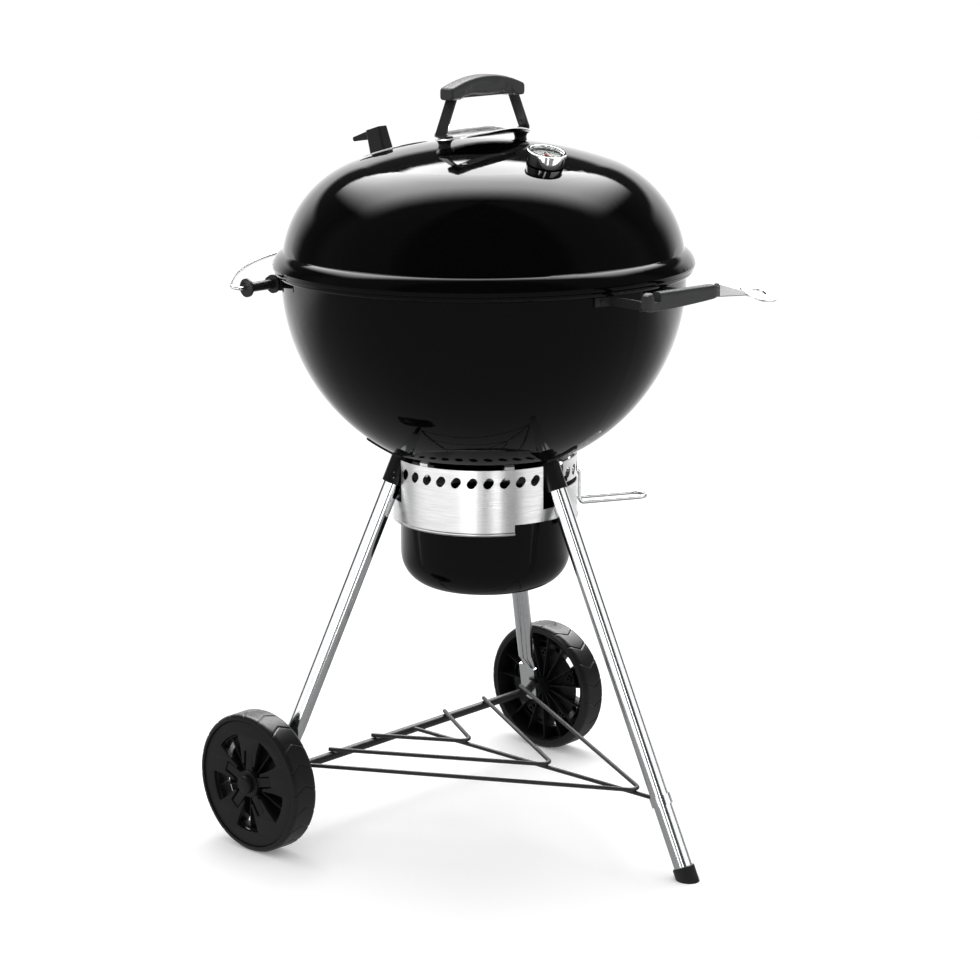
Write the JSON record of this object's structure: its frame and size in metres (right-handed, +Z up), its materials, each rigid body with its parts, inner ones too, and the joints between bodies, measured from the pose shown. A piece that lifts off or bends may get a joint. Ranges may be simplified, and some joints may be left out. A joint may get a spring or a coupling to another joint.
{
  "type": "kettle charcoal grill",
  "caption": "Round kettle charcoal grill with domed lid, lid and side handles, hinged cooking grate, bottom vents with ash catcher, and tripod stand with two wheels.",
  "frame": {"origin": "on the floor directly under the axis of the bowl", "axes": "+Z up, +X towards the front leg and the side handle, +Y along the wheel axle towards the right wheel"},
  "size_m": [0.7447, 0.6766, 1.078],
  "materials": {
    "black_enamel": "gloss porcelain enamel",
    "aluminised_steel": "satin aluminised sheet",
    "steel_rod": "plain turned rod",
    "zinc_wire": "bright zinc-plated wire",
    "damper_aluminium": "satin",
    "black_nylon": "moulded nylon",
    "polished_tube": "polished drawn tube",
    "thermometer_chrome": "bright",
    "dial_glass": "clear",
    "dial_white": "matt print",
    "needle_red": "matt",
    "shield_aluminium": "bright rolled",
    "black_spacer": "moulded",
    "strap_steel": "black powder coat",
    "plated_fasteners": "zinc plated",
    "grey_nylon": "glass-filled nylon",
    "brushed_aluminium": "brushed sheet",
    "black_axle": "black painted rod",
    "wheel_plastic": "moulded plastic",
    "wheel_tread": "moulded plastic tread",
    "black_wire": "black coated wire",
    "plated_grate": "plated wire",
    "bare_grate": "bare steel wire",
    "black_roller": "moulded nylon"
  },
  "bodies": {
    "stand_and_bowl": {"bowl": "black_enamel", "leg_socket_front": "black_nylon", "leg_socket_left": "black_nylon", "leg_socket_right": "black_nylon", "snap_buttons": "black_nylon", "leg_front": "polished_tube", "leg_left": "polished_tube", "leg_right": "polished_tube", "foot_cap": "black_nylon", "axle": "black_axle", "hub_cap_left": "wheel_plastic", "hub_cap_right": "wheel_plastic", "wire_rack": "black_wire", "rack_clip": "black_nylon", "ash_ring": "brushed_aluminium", "ring_hooks": "aluminised_steel", "ring_brackets": "aluminised_steel", "charcoal_grate": "bare_grate", "charcoal_tabs": "bare_grate", "cooking_grate": "plated_grate", "cooking_tabs": "plated_grate", "flap_clips": "plated_grate", "side_grip": "grey_nylon", "side_brackets": "brushed_aluminium", "side_bolts": "plated_fasteners", "thermometer_holder": "brushed_aluminium", "lid_holder_brackets": "aluminised_steel"},
    "lid": {"lid": "black_enamel", "lid_handle_strap": "strap_steel", "lid_grip": "grey_nylon", "grip_screws": "plated_fasteners", "strap_bolts": "plated_fasteners", "heat_shield": "shield_aluminium", "shield_spacers": "black_spacer", "damper_rivet": "damper_aluminium", "thermometer_housing": "thermometer_chrome", "thermometer_bezel": "thermometer_chrome", "thermometer_glass": "dial_glass", "thermometer_dial": "dial_white", "thermometer_stem": "thermometer_chrome"},
    "damper": {"damper_disc": "damper_aluminium", "damper_knob": "black_nylon"},
    "dial_needle": {"thermometer_needle": "needle_red"},
    "front_flap": {"grate_flap_front": "plated_grate"},
    "back_flap": {"grate_flap_back": "plated_grate"},
    "bottom_vents": {"vent_blades": "aluminised_steel", "vent_shaft": "steel_rod", "vent_lever": "zinc_wire"},
    "ash_catcher": {"ash_bowl": "black_enamel"},
    "left_wheel": {"wheel_left": "wheel_plastic", "tyre_left": "wheel_tread"},
    "right_wheel": {"wheel_right": "wheel_plastic", "tyre_right": "wheel_tread"},
    "lid_holder": {"lid_holder_hoop": "zinc_wire"},
    "left_roller": {"roller_left": "black_roller"},
    "right_roller": {"roller_right": "black_roller"}
  },
  "joints": [
    {"name": "lid_lift", "type": "slide", "parent": "stand_and_bowl", "child": "lid", "axis": [0, 0, 1], "range_m": [0, 0.3]},
    {"name": "damper_turn", "type": "hinge", "parent": "lid", "child": "damper", "pos_m": [-0.15961, -0.01116, 0.96488], "axis": [-0.2907, -0.0203, 0.9566], "range_deg": [0, 45]},
    {"name": "needle_turn", "type": "hinge", "parent": "lid", "child": "dial_needle", "pos_m": [0.14651, -0.03653, 0.96754], "axis": [0.2669, -0.0665, 0.9614], "range_deg": [-120, 120]},
    {"name": "front_flap_lift", "type": "hinge", "parent": "stand_and_bowl", "child": "front_flap", "pos_m": [0.168, 0, 0.7895], "axis": [0, -1, 0], "range_deg": [0, 85]},
    {"name": "back_flap_lift", "type": "hinge", "parent": "stand_and_bowl", "child": "back_flap", "pos_m": [-0.168, 0, 0.7895], "axis": [0, 1, 0], "range_deg": [0, 85]},
    {"name": "vent_turn", "type": "hinge", "parent": "stand_and_bowl", "child": "bottom_vents", "pos_m": [0, 0, 0.5], "axis": [0, 0, 1], "range_deg": [-40, 12]},
    {"name": "ash_catcher_turn", "type": "hinge", "parent": "stand_and_bowl", "child": "ash_catcher", "pos_m": [0, 0, 0.42], "axis": [0, 0, 1], "range_deg": [-30, 0]},
    {"name": "left_wheel_spin", "type": "hinge", "parent": "stand_and_bowl", "child": "left_wheel", "pos_m": [-0.155, -0.308, 0.1], "axis": [0, 1, 0], "continuous": true},
    {"name": "right_wheel_spin", "type": "hinge", "parent": "stand_and_bowl", "child": "right_wheel", "pos_m": [-0.155, 0.308, 0.1], "axis": [0, 1, 0], "continuous": true},
    {"name": "lid_holder_swing", "type": "hinge", "parent": "stand_and_bowl", "child": "lid_holder", "pos_m": [-0.211, 0, 0.79], "axis": [0, 1, 0], "range_deg": [0, 45]},
    {"name": "left_roller_spin", "type": "hinge", "parent": "lid_holder", "child": "left_roller", "pos_m": [-0.211, -0.23, 0.79], "axis": [0, 1, 0], "continuous": true},
    {"name": "right_roller_spin", "type": "hinge", "parent": "lid_holder", "child": "right_roller", "pos_m": [-0.211, 0.23, 0.79], "axis": [0, 1, 0], "continuous": true}
  ]
}
